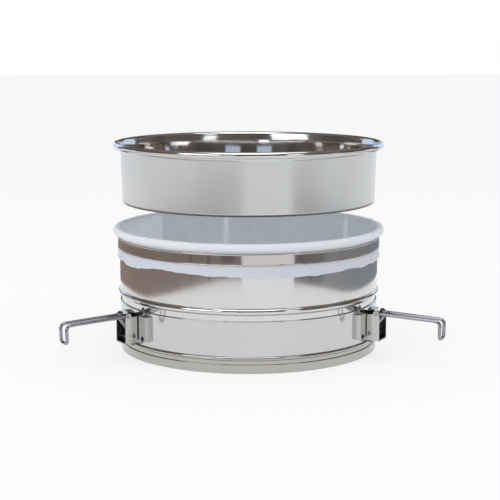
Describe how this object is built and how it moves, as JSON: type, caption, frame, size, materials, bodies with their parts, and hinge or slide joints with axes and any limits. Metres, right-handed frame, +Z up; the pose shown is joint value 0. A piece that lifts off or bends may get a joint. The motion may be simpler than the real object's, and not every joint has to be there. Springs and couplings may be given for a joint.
{
  "type": "cheese mould",
  "caption": "Round stainless cheese mould with a cloth lining, a drained base clamped by wire draw latches, and a pan-shaped pressing lid.",
  "frame": {"origin": "centre of the underside of the base, on the mould's axis", "axes": "+Z up along the mould's axis; the rear latch points along +Y and the two front latches point 30 degrees below -X and +X"},
  "size_m": [0.3642, 0.3409, 0.205],
  "materials": {
    "body_steel": "mirror-polished stainless sheet with faint rolling lines",
    "lid_steel": "satin stainless sheet, polished inside",
    "hoop_steel": "polished stainless strip",
    "bracket_steel": "bent stainless sheet, lightly brushed",
    "wire_steel": "drawn stainless wire",
    "fastener_steel": "turned steel",
    "cloth": "fine white plain weave"
  },
  "bodies": {
    "base": {"base_ring": "body_steel", "foot_band": "body_steel", "bottom_plate": "body_steel"},
    "mould": {"collar_wall": "body_steel", "outer_band": "body_steel", "collar_rim_wire": "wire_steel", "cloth_liner": "cloth", "cloth_hoop": "hoop_steel", "left_latch_bracket": "bracket_steel", "left_bracket_rivets": "fastener_steel", "left_guide_pin": "fastener_steel", "right_latch_bracket": "bracket_steel", "right_bracket_rivets": "fastener_steel", "right_guide_pin": "fastener_steel", "rear_latch_bracket": "bracket_steel", "rear_bracket_rivets": "fastener_steel", "rear_guide_pin": "fastener_steel"},
    "lid": {"lid_pan": "lid_steel", "lid_rim_wire": "lid_steel"},
    "left_lever": {"left_lever": "wire_steel"},
    "left_draw_loop": {"left_draw_loop": "wire_steel"},
    "right_lever": {"right_lever": "wire_steel"},
    "right_draw_loop": {"right_draw_loop": "wire_steel"},
    "rear_lever": {"rear_lever": "wire_steel"},
    "rear_draw_loop": {"rear_draw_loop": "wire_steel"}
  },
  "joints": [
    {"name": "mould_lift", "type": "slide", "parent": "base", "child": "mould", "axis": [0, 0, 1], "range_m": [0, 0.06]},
    {"name": "lid_press", "type": "slide", "parent": "mould", "child": "lid", "axis": [0, 0, 1], "range_m": [-0.0767, 0.05]},
    {"name": "left_lever_swing", "type": "hinge", "parent": "mould", "child": "left_lever", "pos_m": [-0.12254, -0.07075, 0.0445], "axis": [-0.5, 0.866, 0], "range_deg": [0, 91.7]},
    {"name": "left_loop_swing", "type": "hinge", "parent": "left_lever", "child": "left_draw_loop", "pos_m": [-0.12774, -0.07375, 0.04432], "axis": [-0.5, 0.866, 0], "range_deg": [-91.7, 0]},
    {"name": "right_lever_swing", "type": "hinge", "parent": "mould", "child": "right_lever", "pos_m": [0.12254, -0.07075, 0.0445], "axis": [-0.5, -0.866, 0], "range_deg": [0, 91.7]},
    {"name": "right_loop_swing", "type": "hinge", "parent": "right_lever", "child": "right_draw_loop", "pos_m": [0.12774, -0.07375, 0.04432], "axis": [-0.5, -0.866, 0], "range_deg": [-91.7, 0]},
    {"name": "rear_lever_swing", "type": "hinge", "parent": "mould", "child": "rear_lever", "pos_m": [0, 0.1415, 0.0445], "axis": [1, 0, 0], "range_deg": [0, 91.7]},
    {"name": "rear_loop_swing", "type": "hinge", "parent": "rear_lever", "child": "rear_draw_loop", "pos_m": [0, 0.1475, 0.04432], "axis": [1, 0, 0], "range_deg": [-91.7, 0]}
  ],
  "couplings": [
    {"joint": "left_loop_swing", "follows": "left_lever_swing", "ratio": -1},
    {"joint": "right_loop_swing", "follows": "right_lever_swing", "ratio": -1},
    {"joint": "rear_loop_swing", "follows": "rear_lever_swing", "ratio": -1}
  ]
}
